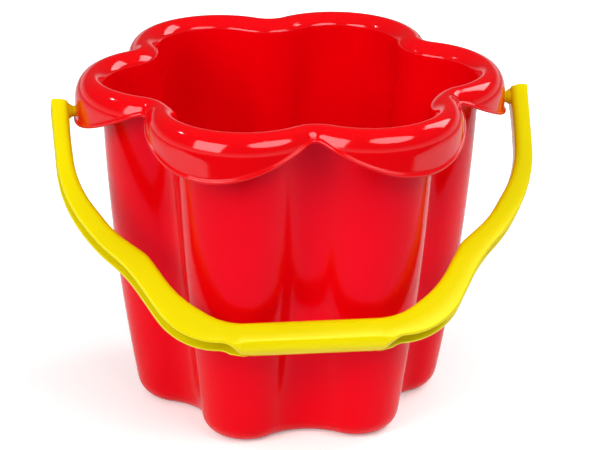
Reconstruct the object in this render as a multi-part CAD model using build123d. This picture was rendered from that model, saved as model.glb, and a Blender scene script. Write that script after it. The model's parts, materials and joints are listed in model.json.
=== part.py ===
from build123d import *
import math
import os

# A child's sand bucket: a six-petalled bucket with a rolled rim and a scalloped skirt, and a swing handle.
# Millimetres. The origin is the middle of the floor's underside, +Z is up, and +X runs along the pivot line.
# The handle is shown lowered, leaning on the front of the bucket, which faces -Y.

# ---------------------------------------------------------------- driving dimensions

HEIGHT = 167.6             # floor underside to the top of the rim
WALL = 1.8                 # thickness of the bucket's walls, rim and skirt
FLOOR = 2.2                # thickness of the floor

# Six-petal outlines: the reach of a petal's tip, the petal's radius, and the radius of the hollow notch.
BOTTOM = (73.2, 19.7, 25.0)     # body, outer face, at the bottom
MIDDLE = (86.0, 27.1, 14.4)     # at half height
TOP = (91.7, 31.4, 24.4)        # where it meets the rim
CREST = (95.9, 38.4, 14.4)      # the rim's highest line
SKIRT = (104.2, 45.8, 3.3)      # the skirt's upright face
HEEL = 8.9                 # radius of the rounding round the bottom edge

CREST_LAND = 0.1           # narrow flat along the crest
ROLL_IN = 6.4              # fall of the rounding from the crest down into the bucket
ROLL_BACK = 3.2            # fall from the crest to the top of the neck that backs the rounding
NECK_SHARE = 0.36          # where the neck stands, from the wall's inner face towards the crest
ROLL_OUT = 11.7            # fall of the rounding from the crest out to the skirt
PETAL_DROP = 23.0          # crest to the skirt's lower edge at the tip of a petal
NOTCH_DROP = 7.0           # crest to the skirt's lower edge in a notch
SCALLOP_POWER = 1.34       # how late the lower edge falls away from a notch towards a petal
BEAD = 0.8                 # how far the bead along the lower edge stands out
BEAD_HEIGHT = 2.0
ROUND_STEPS = 6            # levels a quarter-round is lofted through

PIVOT_HEIGHT = 149.8       # pivot line above the floor's underside
PIN_RADIUS = 2.6
PIN_CLEARANCE = 0.08       # radial play of a pin in its hole
PIN_HOLE_REACH = 6.0       # how far either side of the skirt's face a pin hole is cut
PIN_HEAD = 3.3             # radius of the snap head inside the skirt
PIN_HEAD_LENGTH = 3.3
PIN_HEAD_LEAD = 0.8        # the head's chamfer starts this far from its bearing face
PIN_HEAD_TIP = 2.2         # radius of the head's front face
PIN_FLARE = 3.9            # radius where the pin flares into the arm
PIN_ROOT = 1.5             # how far the pin's root is sunk into the arm
SKIRT_GAP = 0.5            # play between the snap head and the skirt

HANDLE_TILT = 44.4         # plane of the lowered handle, forward of straight down, degrees
HANDLE_DEPTH = 12.4        # handle's size across its own plane
HANDLE_WALL = 1.8
HANDLE_EDGE = 3.2          # rounding of the handle's inner long edges
GRIP_LENGTH = 62.0
GRIP_EDGE = 5.6            # rounding of the grip's far long edges
GRIP_SKIN = 1.5            # closed wall between the channel's end and the grip
ARM_END = 4.2              # how far an arm goes past its pin


# ---------------------------------------------------------------- six-petal outlines

def between(first, second, share):
    """An outline partly of the way from one outline to another."""
    return tuple(a + (b - a) * share for a, b in zip(first, second))


def grown(outline, margin):
    """The same outline with every point moved outwards by a margin."""
    reach, petal, notch = outline
    return (reach + margin, petal + margin, notch - margin)


def polar(distance, degrees, z=0.0):
    """A point at a distance from the axis."""
    angle = math.radians(degrees)
    return Vector(distance * math.cos(angle), distance * math.sin(angle), z)


def petal_wire(outline, z):
    """Closed wire of petal arcs joined by hollow notch arcs, all tangent to each other."""
    reach, petal, notch = outline
    ring = reach - petal
    notch_ring = ring * math.cos(math.radians(30))
    notch_ring += math.sqrt((petal + notch) ** 2 - (ring / 2) ** 2)
    edges = []
    for turn in range(0, 360, 60):
        centre = polar(ring, turn, z)
        after = centre + (polar(notch_ring, turn + 30, z) - centre).normalized() * petal
        before = centre + (polar(notch_ring, turn - 30, z) - centre).normalized() * petal
        next_centre = polar(ring, turn + 60, z)
        following = next_centre + (polar(notch_ring, turn + 30, z) - next_centre).normalized() * petal
        edges.append(ThreePointArc(before, polar(reach, turn, z), after))
        edges.append(ThreePointArc(after, polar(notch_ring - notch, turn + 30, z), following))
    return Wire(edges)


def notch_reach(outline):
    """Distance from the axis to the bottom of a notch."""
    reach, petal, notch = outline
    ring = reach - petal
    return ring * math.cos(math.radians(30)) + math.sqrt((petal + notch) ** 2 - (ring / 2) ** 2) - notch


def stack(levels, ruled=False):
    """A solid through a list of (outline, height) levels."""
    return Solid.make_loft([petal_wire(outline, z) for outline, z in levels], ruled)


def prism(outline, low, high):
    """A straight-sided solid between two heights."""
    return stack([(outline, low), (outline, high)], True)


# ---------------------------------------------------------------- bucket

def body_outline(z):
    """Outer face of the wall: the three given outlines joined by a quadratic in height."""
    share = z / HEIGHT
    weights = (2 * (share - 0.5) * (share - 1), 4 * share * (1 - share), 2 * share * (share - 0.5))
    return tuple(sum(w * v for w, v in zip(weights, values)) for values in zip(BOTTOM, MIDDLE, TOP))


def heel_levels(base, radius, margin):
    """Levels of a quarter-round bottom edge, from the flat bottom up to the wall."""
    levels = []
    for step in range(ROUND_STEPS + 1):
        angle = math.radians(90 * step / ROUND_STEPS)
        z = base + radius * (1 - math.cos(angle))
        inset = radius * (1 - math.sin(angle))
        levels.append((grown(body_outline(z), margin - inset), z))
    return levels


def wall_levels(low, high, margin, count=7):
    """Levels of the wall between two heights."""
    heights = [low + (high - low) * step / (count - 1) for step in range(count)]
    return [(grown(body_outline(z), margin), z) for z in heights]


def rim_form(margin):
    """The rim and skirt as a solid hat, its face moved outwards by a margin."""
    levels = []
    for step in range(ROUND_STEPS + 1):
        angle = math.radians(90 * (1 - step / ROUND_STEPS))
        across = math.sin(angle) / (SKIRT[0] - CREST[0])
        up = math.cos(angle) / ROLL_OUT
        length = math.hypot(across, up)
        outline = grown(between(CREST, SKIRT, math.sin(angle)), margin * across / length)
        z = HEIGHT - ROLL_OUT * (1 - math.cos(angle)) + margin * up / length
        levels.append((outline, z))
    upright = prism(grown(SKIRT, margin), HEIGHT - PETAL_DROP - 2 * BEAD_HEIGHT, HEIGHT - ROLL_OUT)
    return stack(levels) + upright


def below_scallops(lift):
    """Everything outside the body and under the skirt's scalloped lower edge, raised by a lift."""
    inner = notch_reach(SKIRT)
    outer = SKIRT[0]
    start = inner / 2
    fall = PETAL_DROP - NOTCH_DROP

    def edge_point(share):
        drop = NOTCH_DROP + fall * share ** SCALLOP_POWER
        return (inner + (outer - inner) * share, HEIGHT - drop + lift)

    steps = 8
    curve = [edge_point(step / steps) for step in range(steps + 1)]
    last = edge_point(1.2)
    floor = HEIGHT - 2 * PETAL_DROP
    with BuildSketch(Plane.XZ) as section:
        with BuildLine():
            Line((start, curve[0][1]), curve[0])
            Spline(*curve)
            Polyline(curve[-1], last, (last[0], floor), (start, floor), (start, curve[0][1]))
        make_face()
    return revolve(section.sketch, Axis.Z)


def make_bucket():
    """Body, floor, rim and skirt as one moulding, with the two pin holes."""
    underside = rim_form(-WALL)
    skirt = rim_form(0) - underside - below_scallops(0)
    bead = (rim_form(BEAD) - underside - below_scallops(0)) & below_scallops(BEAD_HEIGHT)

    shoulder = HEIGHT - ROLL_IN - WALL
    neck = between(grown(TOP, -WALL), CREST, NECK_SHARE)
    neck = grown(neck, WALL)
    neck_low = HEIGHT - ROLL_BACK
    body = stack(heel_levels(0, HEEL, 0)) + stack(wall_levels(HEEL, shoulder, 0))
    body += stack([(body_outline(shoulder), shoulder), (neck, neck_low)], True)
    body += prism(neck, neck_low, HEIGHT - WALL / 2)

    throat = HEIGHT - ROLL_IN
    inside = grown(body_outline(throat), -WALL)
    brink = grown(CREST, -CREST_LAND)
    mouth = []
    for step in range(ROUND_STEPS + 1):
        angle = math.radians(90 * step / ROUND_STEPS)
        share = 1 - math.cos(angle)
        z = throat + ROLL_IN * math.sin(angle)
        mouth.append((between(inside, brink, share), z))
    hollow_heel = HEEL - WALL
    bucket = skirt + body + bead
    bucket -= stack(wall_levels(FLOOR + hollow_heel, throat, -WALL))
    bucket -= stack(heel_levels(FLOOR, hollow_heel, -WALL))
    bucket -= stack(mouth)
    for side in (-1, 1):
        place = Plane((side * SKIRT[0], 0, PIVOT_HEIGHT), z_dir=(side, 0, 0))
        bucket -= extrude(place * Circle(PIN_RADIUS + PIN_CLEARANCE), PIN_HOLE_REACH, both=True)
    return bucket


# ---------------------------------------------------------------- handle, drawn flat with its pins at y = 0

# Corners of half of each long edge, and the radius at each, from the pivot down to the grip.
FAR_EDGE = (
    ((115.8, ARM_END), 1.5), ((113.9, -46.0), 67), ((98.6, -70.8), 79), ((84.5, -84.7), 67),
    ((62.4, -123.5), 34), ((42.0, -123.5), 8), ((33.5, -128.2), 4),
)
NEAR_EDGE = (
    ((107.4, 20.0), 0), ((107.2, -15.4), 150), ((105.7, -40.0), 52), ((89.4, -65.1), 49),
    ((74.5, -77.4), 13), ((61.6, -99.1), 51), ((41.1, -113.7), 31),
)


def mirrored_face(corners):
    """A face from half of its corners and their radii, mirrored about x = 0."""
    other_half = [((-x, y), radius) for (x, y), radius in reversed(corners)]
    whole = list(corners) + other_half
    points = [point for point, radius in whole]
    radii = [radius for point, radius in whole]
    return make_face(FilletPolyline(*points, radius=radii, close=True))


def make_pin():
    """The right-hand pin: a flare out of the arm, the bearing length, and a snap head."""
    root = NEAR_EDGE[0][0][0] + PIN_ROOT
    flared = root - PIN_ROOT / 2
    neck = flared - (PIN_FLARE - PIN_RADIUS)
    head = SKIRT[0] - WALL - SKIRT_GAP
    tip = head - PIN_HEAD_LENGTH
    with BuildSketch() as section:
        with BuildLine():
            Polyline((root, PIN_FLARE), (root, 0), (tip, 0), (tip, PIN_HEAD_TIP))
            Polyline((tip, PIN_HEAD_TIP), (head - PIN_HEAD_LEAD, PIN_HEAD), (head, PIN_HEAD))
            Polyline((head, PIN_HEAD), (head, PIN_RADIUS), (neck, PIN_RADIUS))
            TangentArc((neck, PIN_RADIUS), (flared, PIN_FLARE), tangent=(1, 0))
            Line((flared, PIN_FLARE), (root, PIN_FLARE))
        make_face()
    return revolve(section.sketch, Axis.X)


def make_handle():
    """Arms, grip and pins as one moulding: a channel open on its far side, closed at the grip."""
    whole = mirrored_face(FAR_EDGE)
    opening = mirrored_face(NEAR_EDGE)
    half_depth = HANDLE_DEPTH / 2
    handle = extrude(whole - opening, half_depth, both=True)

    rim = opening.faces()[0].outer_wire()
    near = [
        edge for edge in handle.edges()
        if abs(abs(edge.center().Z) - half_depth) < 0.01
        and rim.distance_to(Vector((edge @ 0.5).X, (edge @ 0.5).Y, 0)) < 0.01
    ]
    handle = fillet(near, HANDLE_EDGE)

    far = FAR_EDGE[-1][0][1]
    end_wall = Align.MIN, Align.MIN
    channel = offset(whole, HANDLE_WALL) - offset(opening, HANDLE_WALL)
    channel -= Pos(-FAR_EDGE[0][0][0], ARM_END - HANDLE_WALL) * Rectangle(
        2 * FAR_EDGE[0][0][0], 2 * ARM_END, align=end_wall)
    channel -= Pos(0, far) * Rectangle(GRIP_LENGTH + 2 * GRIP_SKIN, 2 * HANDLE_DEPTH)
    handle -= extrude(channel, half_depth - HANDLE_WALL, both=True)

    grip = Rectangle(2 * HANDLE_DEPTH, HANDLE_DEPTH, align=(Align.MIN, Align.CENTER))
    bar = Plane.YZ * Pos(far, 0) * grip
    bar = fillet([corner for corner in bar.vertices() if corner.Y < far + 1], GRIP_EDGE)
    bar = extrude(bar, GRIP_LENGTH / 2, both=True)
    block = Pos(0, far, 0) * Box(GRIP_LENGTH, 2 * HANDLE_DEPTH, 2 * HANDLE_DEPTH)
    handle -= block - bar

    pin = make_pin()
    handle += [pin, mirror(pin, Plane.YZ)]
    return Pos(0, 0, PIVOT_HEIGHT) * Rot(90 - HANDLE_TILT, 0, 0) * handle


# ---------------------------------------------------------------- write one STEP per node

os.makedirs("parts", exist_ok=True)
nodes = {"bucket": make_bucket(), "handle": make_handle()}
for name, shape in nodes.items():
    shape.label = name
    export_step(shape, f"parts/{name}.step")
    size = shape.bounding_box().size
    print(name, "solids", len(shape.solids()), "volume", round(shape.volume), "size", size)
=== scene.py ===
import json
import math

import bpy
import numpy as np
from mathutils import Matrix, Vector


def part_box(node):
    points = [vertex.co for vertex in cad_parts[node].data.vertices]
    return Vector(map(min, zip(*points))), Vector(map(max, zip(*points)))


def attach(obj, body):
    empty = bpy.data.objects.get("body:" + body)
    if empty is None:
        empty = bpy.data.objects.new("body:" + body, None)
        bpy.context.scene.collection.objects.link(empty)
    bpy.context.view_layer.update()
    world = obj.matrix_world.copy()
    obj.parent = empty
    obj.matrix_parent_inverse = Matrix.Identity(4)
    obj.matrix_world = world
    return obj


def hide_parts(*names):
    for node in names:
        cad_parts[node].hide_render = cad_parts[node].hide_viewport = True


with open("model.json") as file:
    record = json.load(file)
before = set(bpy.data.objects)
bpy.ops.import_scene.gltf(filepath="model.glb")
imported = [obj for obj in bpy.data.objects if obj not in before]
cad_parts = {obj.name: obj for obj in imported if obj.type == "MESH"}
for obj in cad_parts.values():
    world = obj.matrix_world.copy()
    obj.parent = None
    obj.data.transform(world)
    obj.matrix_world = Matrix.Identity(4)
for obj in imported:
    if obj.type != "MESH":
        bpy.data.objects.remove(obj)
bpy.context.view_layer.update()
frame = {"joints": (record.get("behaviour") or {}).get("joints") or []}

# A petal-shaped sand bucket and its swing handle. Sizes are in millimetres until a mesh is made, and are those
# of the CAD model; Blender's metres come from MM. The front of the bucket faces -Y, and +Z is up.

MM = 0.001

# ---------------------------------------------------------------- sizes

_, bucket_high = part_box("bucket")
HEIGHT = bucket_high[2] / MM
WALL = 1.8
FLOOR = 2.2

# Six-petal outlines: reach of a petal's tip, the petal's radius, radius of the hollow notch.
BOTTOM = (73.2, 19.7, 25.0)
MIDDLE = (86.0, 27.1, 14.4)
TOP = (91.7, 31.4, 24.4)
CREST = (95.9, 38.4, 14.4)
SKIRT = (104.2, 45.8, 3.3)
HEEL = 8.9              # radius of the body's rounded bottom edge

# The rim's inner roll runs from the crest down to the throat; its profile starts flat and then bends down.
ROLL_THROAT = 5.3
ROLL_FLAT = 0.4
ROLL_BEND = 0.27
# Under the rim, the body's outer face ends at the shoulder and a neck joins it to the rim's underside.
ROLL_IN = 6.4
ROLL_BACK = 3.2
NECK_SHARE = 0.36
NECK_ROUNDING = 0.4

# The rim's outer roll goes down into the skirt, which ends lower at each petal than at each notch.
ROLL_OUT = 11.7
PETAL_DROP = 23.0
NOTCH_DROP = 7.0
SCALLOP_POWER = 1.34
BEAD = 0.8
BEAD_HEIGHT = 2.0
BEAD_GAP = 0.35
EDGE_HALF = 0.5         # the skirt's edge is rounded from its inner face by this much
EDGE_CORNER = 0.12
UNDERSIDE_GAP = 1.0

pivot = next(joint for joint in frame["joints"] if joint["name"] == "handle_pivot")
PIVOT_HEIGHT = pivot["pos_m"][2] / MM
PIN_RADIUS = 2.6
PIN_CLEARANCE = 0.08
PIN_REACH = 6           # half the length of the drill for a pin hole
PIN_ROOT = 4.1          # radius where the pin leaves the arm
PIN_ROOT_DEPTH = 1.5
PIN_COLLAR = 0.3
PIN_FLARE = 1.5         # the flare's extra radius at the arm
PIN_FLARE_LENGTH = 2.4
PIN_FLARE_POWER = 0.9
PIN_HEAD = 3.3
PIN_HEAD_STEP = 0.8
PIN_HEAD_LENGTH = 3.3
PIN_HEAD_TAPER = 1.1
PIN_PLAY = 0.5          # from the skirt's inner face to the head

HANDLE_TILT = 44.4
HANDLE_DEPTH = 12.4
HALF_DEPTH = HANDLE_DEPTH / 2
HANDLE_WALL = 1.8
ARM_END = 4.2
GRIP_HALF = 31.0


# ---------------------------------------------------------------- six-petal outlines

PETALS = 6
PETAL_STEPS = 34
NOTCH_STEPS = 14
NOTCH_TURN = math.radians(30)


def between(first, second, share):
    """An outline partly of the way from one outline to another."""
    return tuple(a + (b - a) * share for a, b in zip(first, second))


def bezier(share, first, second, third, fourth):
    """A cubic Bezier value."""
    rest = 1 - share
    return first * rest ** 3 + 3 * second * share * rest ** 2 + 3 * third * share ** 2 * rest + fourth * share ** 3


def grown(outline, margin):
    """The same outline moved outwards by a margin."""
    reach, petal, notch = outline
    return (reach + margin, petal + margin, notch - margin)


def notch_centre(outline):
    """Distance from the axis to the centre of a notch's arc."""
    reach, petal, notch = outline
    ring = reach - petal
    return ring * math.cos(NOTCH_TURN) + math.sqrt((petal + notch) ** 2 - (ring / 2) ** 2)


def petal_ring(outline):
    """Points round an outline and their outward normals, one row each, always in the same order."""
    reach, petal, notch = outline
    ring = reach - petal
    far = notch_centre(outline)
    hollow = far * np.array([math.cos(NOTCH_TURN), math.sin(NOTCH_TURN)])
    join = math.atan2(hollow[1], hollow[0] - ring)
    on_petal = np.linspace(-join, join, PETAL_STEPS, endpoint=False)
    petal_normals = np.column_stack([np.cos(on_petal), np.sin(on_petal)])
    petal_points = np.array([ring, 0.0]) + petal * petal_normals
    on_notch = np.linspace(join + math.pi, math.radians(420) - join - math.pi, NOTCH_STEPS, endpoint=False)
    notch_normals = -np.column_stack([np.cos(on_notch), np.sin(on_notch)])
    notch_points = hollow - notch * notch_normals
    points = np.vstack([petal_points, notch_points])
    normals = np.vstack([petal_normals, notch_normals])
    all_points = []
    all_normals = []
    for petal_number in range(PETALS):
        angle = math.radians(360 / PETALS * petal_number)
        spin = np.array([[math.cos(angle), math.sin(angle)], [-math.sin(angle), math.cos(angle)]])
        all_points.append(points @ spin)
        all_normals.append(normals @ spin)
    return np.vstack(all_points), np.vstack(all_normals)


def level(outline, z):
    """A ring of points at one height."""
    points, _ = petal_ring(outline)
    return np.column_stack([points, np.full(len(points), z)])


def body_outline(z):
    """Outer face of the wall at a height: a parabola through the bottom, middle and top outlines."""
    share = z / HEIGHT
    weights = (2 * (share - 0.5) * (share - 1), 4 * share * (1 - share), 2 * share * (share - 0.5))
    return tuple(sum(w * v for w, v in zip(weights, values)) for values in zip(BOTTOM, MIDDLE, TOP))


# ---------------------------------------------------------------- bucket surfaces, as lists of rings

def heel_rings(base, radius, margin, steps=9):
    """The quarter-round bottom edge, from the flat bottom up to the wall."""
    rings = []
    for angle in np.linspace(0, math.pi / 2, steps):
        z = base + radius * (1 - math.cos(angle))
        rings.append(level(grown(body_outline(z), margin - radius * (1 - math.sin(angle))), z))
    return rings


def flat_rings(outline, z, shares):
    """Shrunken copies of an outline, for a flat bottom."""
    whole = level(outline, z)
    return [whole * [share, share, 1] for share in shares]


def wall_rings(low, high, margin, steps):
    """The wall between two heights."""
    return [level(grown(body_outline(z), margin), z) for z in np.linspace(low, high, steps)]


def scallop_drop(points):
    """How far below the crest the skirt ends, at each point's distance from the axis."""
    inner = notch_centre(SKIRT) - SKIRT[2]
    share = np.clip((np.hypot(points[..., 0], points[..., 1]) - inner) / (SKIRT[0] - inner), 0, None)
    return NOTCH_DROP + (PETAL_DROP - NOTCH_DROP) * share ** SCALLOP_POWER


ROLL_STEPS = 60
SKIRT_STEPS = 40


def skirt_paths(margin):
    """Each column's fine path from the crest out and down, with its normals, ended on the scalloped edge."""
    points = []
    normals = []
    for angle in np.radians(np.linspace(0, 90, ROLL_STEPS + 1)):
        across = math.sin(angle) / (SKIRT[0] - CREST[0])
        up = math.cos(angle) / ROLL_OUT
        length = math.hypot(across, up)
        outline = grown(between(CREST, SKIRT, math.sin(angle)), margin * across / length)
        flat, outward = petal_ring(outline)
        z = HEIGHT - ROLL_OUT * (1 - math.cos(angle)) + margin * up / length
        points.append(np.column_stack([flat, np.full(len(flat), z)]))
        normals.append(np.column_stack([outward * across / length, np.full(len(flat), up / length)]))
    for drop in np.linspace(ROLL_OUT, PETAL_DROP + BEAD_HEIGHT, SKIRT_STEPS + 1)[1:]:
        points.append(np.column_stack([points[ROLL_STEPS][:, :2], np.full(len(flat), HEIGHT - drop)]))
        normals.append(normals[ROLL_STEPS])
    points = np.array(points)
    normals = np.array(normals)
    past = (HEIGHT - points[..., 2]) - scallop_drop(points)
    last = np.argmax(past > 0, axis=0)
    columns = np.arange(points.shape[1])
    share = past[last - 1, columns] / (past[last - 1, columns] - past[last, columns])
    return points, normals, last - 1 + share


def at_position(values, position):
    """Each column's value at a fractional place along its path."""
    low = np.clip(np.floor(position).astype(int), 0, len(values) - 2)
    columns = np.arange(values.shape[1])
    share = (position - low)[:, None]
    return values[low, columns] * (1 - share) + values[low + 1, columns] * share


def path_rings(points, ends, steps):
    """Rings spaced evenly by length along the columns' paths, from the crest to their ends."""
    lengths = np.zeros(points.shape[:2])
    lengths[1:] = np.cumsum(np.linalg.norm(np.diff(points, axis=0), axis=2), axis=0)
    total = at_position(lengths[..., None], ends)[:, 0]
    order = np.arange(len(points))
    rings = []
    for share in np.linspace(0, 1, steps):
        places = [np.interp(total[c] * share, lengths[:, c], order) for c in range(points.shape[1])]
        rings.append(at_position(points, np.array(places)))
    return rings


def stepped_back(points, ends, distance):
    """The fractional places that lie a distance before the ends."""
    steps = np.linalg.norm(np.diff(points, axis=0), axis=2).mean(axis=1)
    lengths = np.concatenate([[0], np.cumsum(steps)])
    order = np.arange(len(points))
    return np.interp(np.interp(ends, order, lengths) - distance, lengths, order)


def skirt_edge(outer_points, outer_normals, outer_ends, inner_end):
    """The skirt's rounded lower edge and the bead above it, from the inner face to the outer face."""
    edge = at_position(outer_points, outer_ends)
    normal = at_position(outer_normals, outer_ends)
    normal /= np.linalg.norm(normal, axis=1)[:, None]
    above = at_position(outer_points, stepped_back(outer_points, outer_ends, BEAD_HEIGHT))
    along = above - edge
    along /= np.linalg.norm(along, axis=1)[:, None]
    rings = [inner_end + along * EDGE_HALF,
             inner_end + along * EDGE_CORNER + normal * EDGE_CORNER,
             inner_end + normal * EDGE_HALF]
    half = BEAD_HEIGHT / 2
    for angle in np.radians(np.linspace(15, 165, 9)):
        rings.append(edge + along * half * (1 - math.cos(angle)) + normal * BEAD * math.sin(angle))
    return rings


def bucket_rings():
    """All rings of the bucket's skin, from the middle of its underside to the middle of its floor."""
    shoulder = HEIGHT - ROLL_IN - WALL
    throat = HEIGHT - ROLL_THROAT
    inside = grown(body_outline(throat), -WALL)
    foot = grown(body_outline(0), -HEEL)
    neck = grown(between(grown(TOP, -WALL), CREST, NECK_SHARE), WALL)
    roof = HEIGHT - WALL

    rings = flat_rings(foot, 0.0, (0.02, 0.25, 0.5, 0.75, 0.95))
    rings += heel_rings(0.0, HEEL, 0.0)
    rings += wall_rings(HEEL, shoulder, 0.0, 44)[1:]
    rings += [level(neck, HEIGHT - ROLL_BACK), level(neck, roof - NECK_ROUNDING),
              level(grown(neck, NECK_ROUNDING), roof)]

    under, _, under_ends = skirt_paths(-WALL)
    rings += path_rings(under, stepped_back(under, under_ends, UNDERSIDE_GAP), 14)
    outer, outward, outer_ends = skirt_paths(0.0)
    rings += skirt_edge(outer, outward, outer_ends, at_position(under, under_ends))
    face = path_rings(outer, stepped_back(outer, outer_ends, BEAD_HEIGHT + BEAD_GAP), 30)
    rim_first = len(rings) - 6      # the gloss and the rim's painted shade begin part of the way round the bead
    rings += face[::-1]
    for share in np.linspace(0.06, 1, 16):
        inward = bezier(share, 0.0, ROLL_FLAT, 1.0, 1.0)
        down = bezier(share, 0.0, 0.0, 1 - ROLL_BEND, 1.0)
        rings.append(level(between(CREST, inside, inward), HEIGHT - (HEIGHT - throat) * down))
    rim_last = len(rings) - 1

    hollow_heel = HEEL - WALL
    rings += wall_rings(FLOOR + hollow_heel, throat, -WALL, 40)[-2::-1]
    rings += heel_rings(FLOOR, hollow_heel, -WALL)[-2::-1]
    floor = grown(body_outline(FLOOR), -WALL - hollow_heel)
    rings += flat_rings(floor, FLOOR, (0.95, 0.75, 0.5, 0.25, 0.02))
    return rings, rim_first, rim_last


# ---------------------------------------------------------------- mesh making

def mesh_object(name, points, faces):
    """A smooth-shaded mesh object from millimetre points."""
    mesh = bpy.data.meshes.new(name)
    mesh.from_pydata([tuple(point) for point in np.asarray(points) * MM], [], faces)
    mesh.polygons.foreach_set("use_smooth", [True] * len(mesh.polygons))
    mesh.validate()
    mesh.update()
    piece = bpy.data.objects.new(name, mesh)
    bpy.context.scene.collection.objects.link(piece)
    return piece


def tube_faces(rings, columns, flip=False):
    """Quads between successive closed rings, with both ends capped."""
    faces = []
    for row in range(rings - 1):
        for column in range(columns):
            nearby = (column + 1) % columns
            faces.append((row * columns + column, row * columns + nearby,
                          (row + 1) * columns + nearby, (row + 1) * columns + column))
    faces.append(tuple(range(columns))[::-1])
    faces.append(tuple(range((rings - 1) * columns, rings * columns)))
    if flip:
        faces = [face[::-1] for face in faces]
    return faces


def boolean(piece, operation, tool):
    """Joins a tool to a piece or cuts it out, and removes the tool."""
    step = piece.modifiers.new(operation.lower(), "BOOLEAN")
    step.operation = operation
    step.solver = "EXACT"
    step.object = tool
    view = bpy.context.evaluated_depsgraph_get()
    mesh = bpy.data.meshes.new_from_object(piece.evaluated_get(view))
    piece.modifiers.clear()
    piece.data = mesh
    bpy.data.objects.remove(tool)


# ---------------------------------------------------------------- materials

def shader_material(name, colour, roughness):
    """A material with its plain numbers set, and the nodes that the looks build on."""
    material = bpy.data.materials.new(name)
    material.use_nodes = True
    nodes = material.node_tree.nodes
    shader = nodes["Principled BSDF"]
    shader.inputs["Base Color"].default_value = (*colour, 1)
    shader.inputs["Roughness"].default_value = roughness
    shader.inputs["IOR"].default_value = 1.5
    return material, nodes, material.node_tree.links, shader


def noise(nodes, links, scale, detail=3.0):
    """A noise texture's value, in the object's own metres."""
    place = nodes.new("ShaderNodeTexCoord")
    texture = nodes.new("ShaderNodeTexNoise")
    texture.inputs["Scale"].default_value = scale
    texture.inputs["Detail"].default_value = detail
    links.new(place.outputs["Object"], texture.inputs["Vector"])
    return texture.outputs["Fac"]


def spread(nodes, links, source, low, high):
    """Maps a noise's useful middle to a range of values."""
    ranger = nodes.new("ShaderNodeMapRange")
    ranger.inputs["From Min"].default_value = 0.3
    ranger.inputs["From Max"].default_value = 0.7
    ranger.inputs["To Min"].default_value = low
    ranger.inputs["To Max"].default_value = high
    links.new(source, ranger.inputs["Value"])
    return ranger.outputs["Result"]


def bump(nodes, links, source, strength, distance):
    """A bump node on a height source."""
    node = nodes.new("ShaderNodeBump")
    node.inputs["Strength"].default_value = strength
    node.inputs["Distance"].default_value = distance
    links.new(source, node.inputs["Height"])
    return node


def moulded_plastic(name, colour, deep, roughness, specular, tint, grain, ripple):
    """Injection-moulded plastic: slight colour drift, uneven gloss, fine grain and faint ripples."""
    material, nodes, links, shader = shader_material(name, colour, roughness)
    shader.inputs["Specular IOR Level"].default_value = specular
    shader.inputs["Specular Tint"].default_value = (*tint, 1)
    mix = nodes.new("ShaderNodeMix")
    mix.data_type = "RGBA"
    mix.inputs["A"].default_value = (*deep, 1)
    mix.inputs["B"].default_value = (*colour, 1)
    links.new(spread(nodes, links, noise(nodes, links, 18.0), 0.0, 1.0), mix.inputs["Factor"])
    links.new(mix.outputs["Result"], shader.inputs["Base Color"])
    links.new(spread(nodes, links, noise(nodes, links, 60.0), roughness * 0.88, roughness * 1.14),
              shader.inputs["Roughness"])
    fine = bump(nodes, links, noise(nodes, links, 2600.0, 2.0), grain, 0.0001)
    slow = bump(nodes, links, noise(nodes, links, 70.0, 1.0), ripple, 0.0004)
    links.new(fine.outputs["Normal"], slow.inputs["Normal"])
    links.new(slow.outputs["Normal"], shader.inputs["Normal"])
    return material


# ---------------------------------------------------------------- bucket

def make_bucket():
    """The bucket moulding: body, floor, rolled rim and scalloped skirt in one skin, with the two pin holes."""
    rings, rim_first, rim_last = bucket_rings()
    columns = len(rings[0])
    points = np.vstack(rings)
    bucket = mesh_object("bucket_shell", points, tube_faces(len(rings), columns, flip=True))
    bucket.data.materials.append(moulded_plastic(
        "red_satin", (0.77, 0.0, 0.003), (0.73, 0.0, 0.002), roughness=0.13, specular=0.17,
        tint=(1.0, 0.3, 0.8), grain=0.18, ripple=0.2))
    # The rim's copy of the red has a darker base colour than the body's, which is painted shade that tones the rim
    # down where it catches more light.
    bucket.data.materials.append(moulded_plastic(
        "red_gloss_painted_shade", (0.72, 0.0, 0.003), (0.69, 0.0, 0.002), roughness=0.08, specular=0.5,
        tint=(1.0, 0.85, 0.9), grain=0.04, ripple=0.12))
    materials = np.zeros(len(bucket.data.polygons), dtype=np.int32)
    materials[rim_first * columns:rim_last * columns] = 1
    bucket.data.polygons.foreach_set("material_index", materials)

    for side in (-1, 1):
        drill = revolved("drill", [(SKIRT[0] - PIN_REACH, PIN_RADIUS + PIN_CLEARANCE),
                                   (SKIRT[0] + PIN_REACH, PIN_RADIUS + PIN_CLEARANCE)], side)
        boolean(bucket, "DIFFERENCE", drill)
    bucket.data.set_sharp_from_angle(angle=math.radians(40))
    return bucket


def revolved(name, profile, side, steps=40):
    """A closed solid turned about the pivot line, from (distance along X, radius) points."""
    rings = []
    for distance, radius in profile:
        turns = np.linspace(0, 2 * math.pi, steps, endpoint=False)
        rings.append(np.column_stack([np.full(steps, side * distance), radius * np.cos(turns),
                                      PIVOT_HEIGHT + radius * np.sin(turns)]))
    return mesh_object(name, np.vstack(rings), tube_faces(len(rings), steps, flip=side < 0))


# ---------------------------------------------------------------- handle

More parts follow.
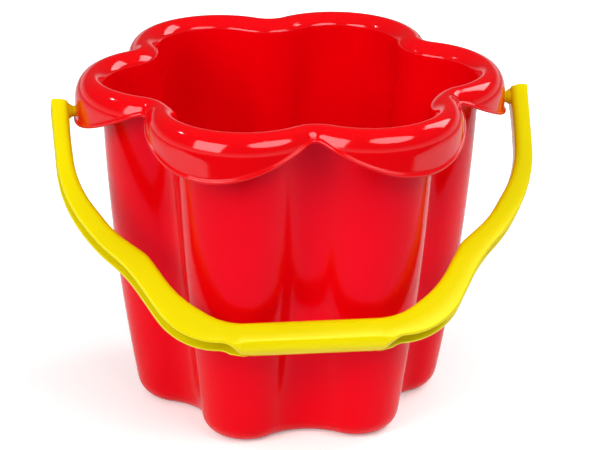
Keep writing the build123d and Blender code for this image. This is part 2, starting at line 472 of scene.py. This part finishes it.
# Corners of half of each long edge, and the radius at each, from the pivot down to the grip, drawn flat with the
# pivot line at y = 0.
FAR_EDGE = (
    ((115.8, ARM_END), 0), ((113.9, -46.0), 67), ((98.6, -70.8), 79), ((84.5, -84.7), 67),
    ((62.4, -123.5), 34), ((42.0, -123.5), 8), ((33.5, -128.2), 4), ((0.0, -128.2), 0),
)
NEAR_EDGE = (
    ((107.4, ARM_END), 0), ((107.2, -15.4), 150), ((105.7, -40.0), 52), ((89.4, -65.1), 49),
    ((74.5, -77.4), 13), ((61.6, -99.1), 51), ((41.1, -113.7), 31), ((0.0, -113.7), 0),
)
NEAR_ROUNDING = 3.2     # long edges of the near face
FAR_ROUNDING = 5.6      # long edges of the grip's far face
LIP = 0.55              # edges of the channel's walls
BELLY_SHARE = 0.62      # the front wall's outer rounding, as a share of its thickness
CHANNEL_CORNER = 1.4

# The arm's end is rounded on the pin side, and its outer corner and the end face's edge a little.
END_ROUNDING = 1.8
FAR_CORNER = 0.25
END_EDGE = 0.5

# The channel ends in a scooped wall where the grip begins, and the back edge is tucked in there.
SCOOP = 7.0
SCOOP_POWER = 1.8
SCOOP_GAP = 0.5
SCOOP_FLOOR = 0.55
TUCK = 1.7
TUCK_CENTRE = 0.8
TUCK_REACH = 4.2
GRIP_EASING = 2.5       # length over which the grip's back rounding grows

STATION_GAP = 0.12      # stations closer together than this are dropped
DIRECTION_SAMPLES = 800
DIRECTION_REACH = 120
DIRECTION_BLUR = 7.0    # length over which the outward direction is smoothed


def corner_arc(before, here, after, radius, steps):
    """Points round a corner of a line, which is rounded to a radius."""
    incoming = (here - before) / np.linalg.norm(here - before)
    outgoing = (after - here) / np.linalg.norm(after - here)
    turn = math.atan2(incoming[0] * outgoing[1] - incoming[1] * outgoing[0], incoming @ outgoing)
    start = here - incoming * radius * math.tan(abs(turn) / 2)
    aside = np.array([-incoming[1], incoming[0]]) * math.copysign(radius, turn)
    points = []
    for share in np.linspace(0, 1, steps):
        angle = turn * share
        spun = np.array([aside[0] * math.cos(angle) - aside[1] * math.sin(angle),
                         aside[0] * math.sin(angle) + aside[1] * math.cos(angle)])
        points.append(start + aside - spun)
    return points


def rounded_path(corners):
    """Points along a line whose corners are rounded to their radii."""
    places = [np.array(corner) for corner, _ in corners]
    path = [places[0]]
    for before, here, after, (_, radius) in zip(places, places[1:], places[2:], corners[1:]):
        path += corner_arc(before, here, after, radius, 25)
    path.append(places[-1])
    return np.array(path)


def along_path(path, distances):
    """Points at distances along a path."""
    lengths = np.concatenate([[0], np.cumsum(np.linalg.norm(np.diff(path, axis=0), axis=1))])
    return np.column_stack([np.interp(distances, lengths, path[:, axis]) for axis in (0, 1)])


def path_length(path):
    """The length of a path."""
    return np.linalg.norm(np.diff(path, axis=0), axis=1).sum()


def reach_to(path, start, direction):
    """Distance from a point along a direction to where it meets a path."""
    across = np.array([-direction[1], direction[0]])
    heights = (path - start) @ across
    best = math.inf
    for low, high, first, second in zip(path, path[1:], heights, heights[1:]):
        if first * second <= 0 and first != second:
            meeting = low + (high - low) * first / (first - second)
            distance = (meeting - start) @ direction
            if distance > 0:
                best = min(best, distance)
    return best


def rounded_section(corners):
    """A closed section with rounded corners: (across, depth, radius, steps) corners in turn."""
    places = [np.array(corner[:2]) for corner in corners]
    section = []
    for index, (_, _, radius, steps) in enumerate(corners):
        after = places[(index + 1) % len(places)]
        section += corner_arc(places[index - 1], places[index], after, radius, steps)
    return np.array(section)


ARC = 7
LIP_ARC = 5


def open_section(width, front, floor):
    """The channel section: front is the depth of the front wall's inner face, floor the channel's own floor."""
    back = HANDLE_WALL - HALF_DEPTH
    belly = min(FAR_ROUNDING, max(LIP, (HALF_DEPTH - front) * BELLY_SHARE))
    inner = min(CHANNEL_CORNER, (front - back) * 0.45)
    lip = min(LIP, (front - back) * 0.4)
    return rounded_section([
        (width, HALF_DEPTH, belly, ARC), (0, HALF_DEPTH, NEAR_ROUNDING, ARC),
        (0, -HALF_DEPTH, NEAR_ROUNDING, ARC), (width, -HALF_DEPTH, LIP, ARC),
        (width, back, lip, LIP_ARC), (floor, back, inner, LIP_ARC),
        (floor, front, inner, LIP_ARC), (width, front, lip, LIP_ARC),
    ])


def closed_section(width, rounding):
    """The solid section, with the same number of points as the channel section."""
    outer = rounded_section([
        (width, HALF_DEPTH, rounding, ARC), (0, HALF_DEPTH, NEAR_ROUNDING, ARC),
        (0, -HALF_DEPTH, NEAR_ROUNDING, ARC), (width, -HALF_DEPTH, rounding, ARC),
    ])
    flat = HALF_DEPTH - rounding
    levels = np.linspace(-flat, flat, 4 * LIP_ARC + 2)[1:-1]
    return np.vstack([outer, np.column_stack([np.full(len(levels), width), levels])])


def handle_stations():
    """Each station's distance round the near edge, point, outward direction, width and distance to the grip."""
    near = rounded_path(NEAR_EDGE)
    far = rounded_path(FAR_EDGE)
    total = path_length(near)
    grip_end = total - GRIP_HALF
    coarse = np.linspace(8, total, 110)
    fine = np.linspace(grip_end - SCOOP - 2, grip_end + 5, 50)
    distances = np.unique(np.concatenate([np.linspace(0, 8, 14), coarse, fine]).round(3))
    distances = distances[np.concatenate([[True], np.diff(distances) > STATION_GAP])]
    distances[-1] = total

    reach = DIRECTION_REACH
    samples = np.linspace(0, total, DIRECTION_SAMPLES)
    line = along_path(near, samples)
    heading = np.gradient(line, axis=0)
    heading /= np.linalg.norm(heading, axis=1)[:, None]
    outward = np.column_stack([-heading[:, 1], heading[:, 0]])
    steps = np.arange(-reach, reach + 1) * total / (DIRECTION_SAMPLES - 1)
    weights = np.exp(-0.5 * (steps / DIRECTION_BLUR) ** 2)
    weights /= weights.sum()
    mirrored = outward[::-1] * [-1, 1]
    padded = np.vstack([np.repeat(outward[:1], reach, axis=0), outward, mirrored[1:reach + 1]])
    smooth = np.column_stack([np.convolve(padded[:, axis], weights, "valid") for axis in (0, 1)])
    smooth /= np.linalg.norm(smooth, axis=1)[:, None]

    stations = []
    for distance, place in zip(distances, along_path(near, distances)):
        direction = np.array([np.interp(distance, samples, smooth[:, axis]) for axis in (0, 1)])
        direction /= np.linalg.norm(direction)
        stations.append((distance, place, direction, reach_to(far, place, direction), grip_end - distance))
    return stations


def handle_rings():
    """Rings of the right half of the handle, from the arm's end to the middle of the grip."""
    rings = []
    channel_begun = False

    def lay(place, direction, section, width=1.0, tuck=0.0):
        behind = np.clip(-section[:, 1:] / HALF_DEPTH, 0, 1)
        across = place + section[:, :1] * (1 - tuck / width * behind) * direction
        rings.append(np.column_stack([across, section[:, 1]]))

    for distance, place, direction, width, to_grip in handle_stations():
        if distance < END_ROUNDING:
            inset = END_ROUNDING - math.sqrt(END_ROUNDING ** 2 - (END_ROUNDING - distance) ** 2)
            place = place + direction * inset
            width -= inset + FAR_CORNER * (1 - distance / END_ROUNDING)
        tuck = TUCK * max(0.0, 1 - abs(to_grip - TUCK_CENTRE) / TUCK_REACH)
        if distance < HANDLE_WALL:
            inset = max(0.0, END_EDGE - distance)
            section = closed_section(width, LIP)
            if inset:
                middle = np.array([width / 2, 0])
                shrink = [1 - 2 * inset / width, 1 - 2 * inset / HANDLE_DEPTH]
                section = middle + (section - middle) * shrink
            lay(place, direction, section)
            continue
        if to_grip > 0:
            done = 1 - min(to_grip / SCOOP, 1)
            front = HALF_DEPTH - HANDLE_WALL
            front -= (2 * front - SCOOP_GAP) * done ** SCOOP_POWER
            floor = HANDLE_WALL + (width * SCOOP_FLOOR - HANDLE_WALL) * max(0, done - 0.5) * 2
            if not channel_begun:
                lay(place, direction, closed_section(width, LIP))
                channel_begun = True
            lay(place, direction, open_section(width, front, floor), width, tuck)
        else:
            eased = min(-to_grip / GRIP_EASING, 1)
            rounding = LIP + (FAR_ROUNDING - LIP) * math.sin(eased * math.pi / 2)
            section = closed_section(width, FAR_ROUNDING)
            back_rows = slice(3 * ARC, 4 * ARC)
            section[back_rows] = closed_section(width, rounding)[back_rows]
            lay(place, direction, section, width, tuck)
    return rings


def make_handle():
    """The handle moulding: channel arms, closed rounded grip and the two pins."""
    right = handle_rings()
    rings = right + [ring * [-1, 1, 1] for ring in right[-2::-1]]
    columns = len(rings[0])
    points = np.vstack(rings)
    lean = math.radians(90 - HANDLE_TILT)
    points = np.column_stack([
        points[:, 0],
        points[:, 1] * math.cos(lean) - points[:, 2] * math.sin(lean),
        PIVOT_HEIGHT + points[:, 1] * math.sin(lean) + points[:, 2] * math.cos(lean),
    ])
    handle = mesh_object("handle_moulding", points, tube_faces(len(rings), columns, flip=True))

    arm = NEAR_EDGE[0][0][0]
    head = SKIRT[0] - WALL - PIN_PLAY
    profile = [(arm + PIN_ROOT_DEPTH, PIN_ROOT), (arm + PIN_COLLAR, PIN_ROOT)]
    for angle in np.radians(np.linspace(0, 90, 9)):
        profile.append((arm + PIN_COLLAR - PIN_FLARE_LENGTH * math.sin(angle) ** PIN_FLARE_POWER,
                        PIN_RADIUS + PIN_FLARE * (1 - math.sin(angle))))
    profile += [(head, PIN_RADIUS), (head, PIN_HEAD), (head - PIN_HEAD_STEP, PIN_HEAD),
                (head - PIN_HEAD_LENGTH, PIN_HEAD - PIN_HEAD_TAPER)]
    for side in (-1, 1):
        boolean(handle, "UNION", revolved("pin", profile[::-1], side))
    handle.data.materials.clear()
    handle.data.materials.append(moulded_plastic(
        "yellow_satin", (0.74, 0.63, 0.0), (0.71, 0.59, 0.0), roughness=0.16, specular=0.5,
        tint=(1.0, 1.0, 0.2), grain=0.2, ripple=0.2))
    handle.data.set_sharp_from_angle(angle=math.radians(35))
    return handle


# ---------------------------------------------------------------- stage, light and camera

FLOOR_REACH = 6.0       # metres, like all sizes of the stage
FLOOR_FRONT = 0.36
FLOOR_GLOW = 0.07
FADE_FROM, FADE_TO = 0.18, 0.8


def make_floor():
    """A white floor that ends a little way in front of the bucket. The camera sees it fade to white."""
    mesh = bpy.data.meshes.new("floor")
    reach, front = FLOOR_REACH, FLOOR_FRONT
    corners = [(-reach, -front, 0), (reach, -front, 0), (reach, reach, 0), (-reach, reach, 0)]
    mesh.from_pydata(corners, [], [(0, 1, 2, 3)])
    floor = bpy.data.objects.new("floor", mesh)
    bpy.context.scene.collection.objects.link(floor)
    material, nodes, links, shader = shader_material("floor_white", (0.85, 0.85, 0.85), 1.0)
    shader.inputs["Specular IOR Level"].default_value = 0.0
    shader.inputs["Emission Color"].default_value = (1, 1, 1, 1)
    place = nodes.new("ShaderNodeTexCoord")
    away = nodes.new("ShaderNodeVectorMath")
    away.operation = "LENGTH"
    fade = nodes.new("ShaderNodeMapRange")
    fade.inputs["From Min"].default_value = FADE_FROM
    fade.inputs["From Max"].default_value = FADE_TO
    fade.inputs["To Min"].default_value = 0.25
    path = nodes.new("ShaderNodeLightPath")
    seen = nodes.new("ShaderNodeMath")
    seen.operation = "MULTIPLY_ADD"
    seen.inputs[2].default_value = FLOOR_GLOW
    links.new(place.outputs["Object"], away.inputs[0])
    links.new(away.outputs["Value"], fade.inputs["Value"])
    links.new(fade.outputs["Result"], seen.inputs[0])
    links.new(path.outputs["Is Camera Ray"], seen.inputs[1])
    links.new(seen.outputs["Value"], shader.inputs["Emission Strength"])
    floor.data.materials.append(material)


def softbox(name, azimuth, elevation, distance, size, radiance, shape="RECTANGLE", shiny=True):
    """An area light at a direction from the bucket, facing it. Azimuth 0 is the front and 90 the right."""
    across, up = math.radians(azimuth), math.radians(elevation)
    middle = Vector((0, 0, HEIGHT * MM / 2))
    towards = Vector((math.sin(across) * math.cos(up), -math.cos(across) * math.cos(up), math.sin(up)))
    light = bpy.data.lights.new(name, "AREA")
    light.shape = shape
    light.size, light.size_y = size
    light.energy = radiance * math.pi * size[0] * size[1]
    lamp = bpy.data.objects.new(name, light)
    lamp.location = middle + towards * distance
    lamp.rotation_euler = towards.to_track_quat("Z", "Y").to_euler()
    lamp.visible_glossy = shiny
    bpy.context.scene.collection.objects.link(lamp)


def light_world():
    """A surround that lights the bucket from near the horizon, and that the camera sees as plain white."""
    world = bpy.data.worlds.new("studio")
    world.use_nodes = True
    nodes, links = world.node_tree.nodes, world.node_tree.links
    background = nodes["Background"]
    place = nodes.new("ShaderNodeTexCoord")
    parts = nodes.new("ShaderNodeSeparateXYZ")
    height = nodes.new("ShaderNodeMapRange")
    height.inputs["From Min"].default_value = -1.0
    fade = nodes.new("ShaderNodeValToRGB")
    stops = fade.color_ramp.elements
    stops[0].position, stops[0].color = 0.485, (0.06, 0.06, 0.06, 1)
    stops[1].position, stops[1].color = 0.5, (0.9, 0.9, 0.9, 1)
    for position, grey in ((0.53, 0.8), (0.62, 0.10)):
        stops.new(position).color = (grey, grey, grey, 1)
    path = nodes.new("ShaderNodeLightPath")
    seen = nodes.new("ShaderNodeMath")
    seen.operation = "MAXIMUM"
    links.new(place.outputs["Generated"], parts.inputs["Vector"])
    links.new(parts.outputs["Z"], height.inputs["Value"])
    links.new(height.outputs["Result"], fade.inputs["Fac"])
    links.new(fade.outputs["Color"], seen.inputs[0])
    links.new(path.outputs["Is Camera Ray"], seen.inputs[1])
    links.new(seen.outputs["Value"], background.inputs["Strength"])
    background.inputs["Color"].default_value = (1, 1, 1, 1)
    bpy.context.scene.world = world


def light_scene():
    """Two softboxes in front, one at the right and behind, a small lamp at the left, and fills."""
    light_world()
    softbox("front_left_box", -48, 29, 1.4, (0.78, 0.78), 6.0)
    softbox("front_right_umbrella", 27, 44, 1.0, (0.78, 0.42), 4.5, "ELLIPSE")
    softbox("right_box", 112, 40, 1.2, (0.45, 0.55), 6.0)
    softbox("left_lamp", -104, 45, 1.4, (0.05, 0.05), 170, "DISK")
    softbox("overhead_fill", 0, 90, 1.3, (1.8, 1.8), 1.0, shiny=False)


CAMERA_TURN = (-7.59, 21.71, 0.65)      # azimuth, elevation and roll, in degrees
CAMERA_DISTANCE = 1.466


def place_camera():
    """A long lens from a little to the left, looking down about 22 degrees."""
    camera = bpy.data.cameras.new("camera")
    camera.sensor_width = 36
    camera.lens = 179.0
    camera.shift_x = 0.0175
    camera.shift_y = 0.0095
    camera.clip_start = 0.05
    camera.clip_end = 50
    azimuth, elevation, roll = (math.radians(angle) for angle in CAMERA_TURN)
    back = Vector((math.sin(azimuth) * math.cos(elevation), -math.cos(azimuth) * math.cos(elevation),
                   math.sin(elevation)))
    right = Vector((math.cos(azimuth), math.sin(azimuth), 0))
    up = back.cross(right)
    rolled_right = right * math.cos(roll) + up * math.sin(roll)
    rolled_up = up * math.cos(roll) - right * math.sin(roll)
    target = Vector((0, 0, HEIGHT * MM / 2))
    turn = Matrix((rolled_right, rolled_up, back)).transposed().to_4x4()
    viewer = bpy.data.objects.new("camera", camera)
    viewer.matrix_world = Matrix.Translation(target + back * CAMERA_DISTANCE) @ turn
    bpy.context.scene.collection.objects.link(viewer)
    bpy.context.scene.camera = viewer


bucket = make_bucket()
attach(bucket, "bucket")
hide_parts("bucket")

handle = make_handle()
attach(handle, "handle")
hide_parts("handle")

make_floor()
light_scene()
place_camera()
bpy.context.scene.view_settings.view_transform = "Standard"
